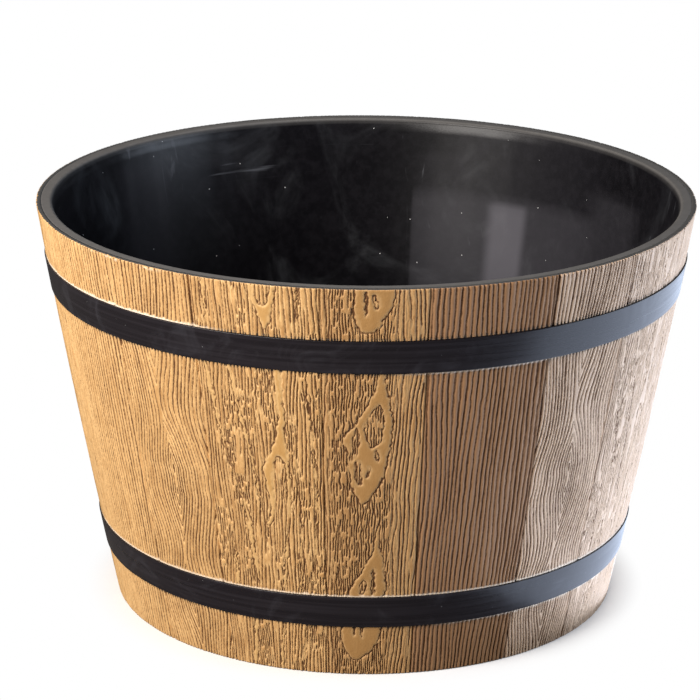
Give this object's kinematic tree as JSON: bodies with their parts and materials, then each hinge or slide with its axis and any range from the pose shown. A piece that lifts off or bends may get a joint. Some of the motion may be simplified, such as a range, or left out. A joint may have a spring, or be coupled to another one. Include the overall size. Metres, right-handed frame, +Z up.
{
  "type": "half-barrel flower pot",
  "caption": "Round tapered flower pot moulded like a half barrel, with staves in its wall, black hoops round it and a stopper in its drain hole.",
  "frame": {"origin": "on the ground, at the centre of the foot ring", "axes": "+Z up along the pot's axis, -Y towards the side that the picture shows, +X to the right of it"},
  "size_m": [0.5078, 0.5077, 0.3165],
  "materials": {
    "painted_staves": "tan wood-grain paint with a dark wash over black moulded resin, black and semi-gloss inside",
    "black_hoop": "satin black",
    "stopper_rubber": "matt black"
  },
  "bodies": {
    "pot": {"pot_body": "painted_staves", "upper_hoop": "black_hoop", "lower_hoop": "black_hoop"},
    "stopper": {"drain_stopper": "stopper_rubber"}
  },
  "joints": [
    {"name": "stopper_pull", "type": "slide", "parent": "pot", "child": "stopper", "axis": [0, 0, 1], "range_m": [0, 0.34]}
  ]
}
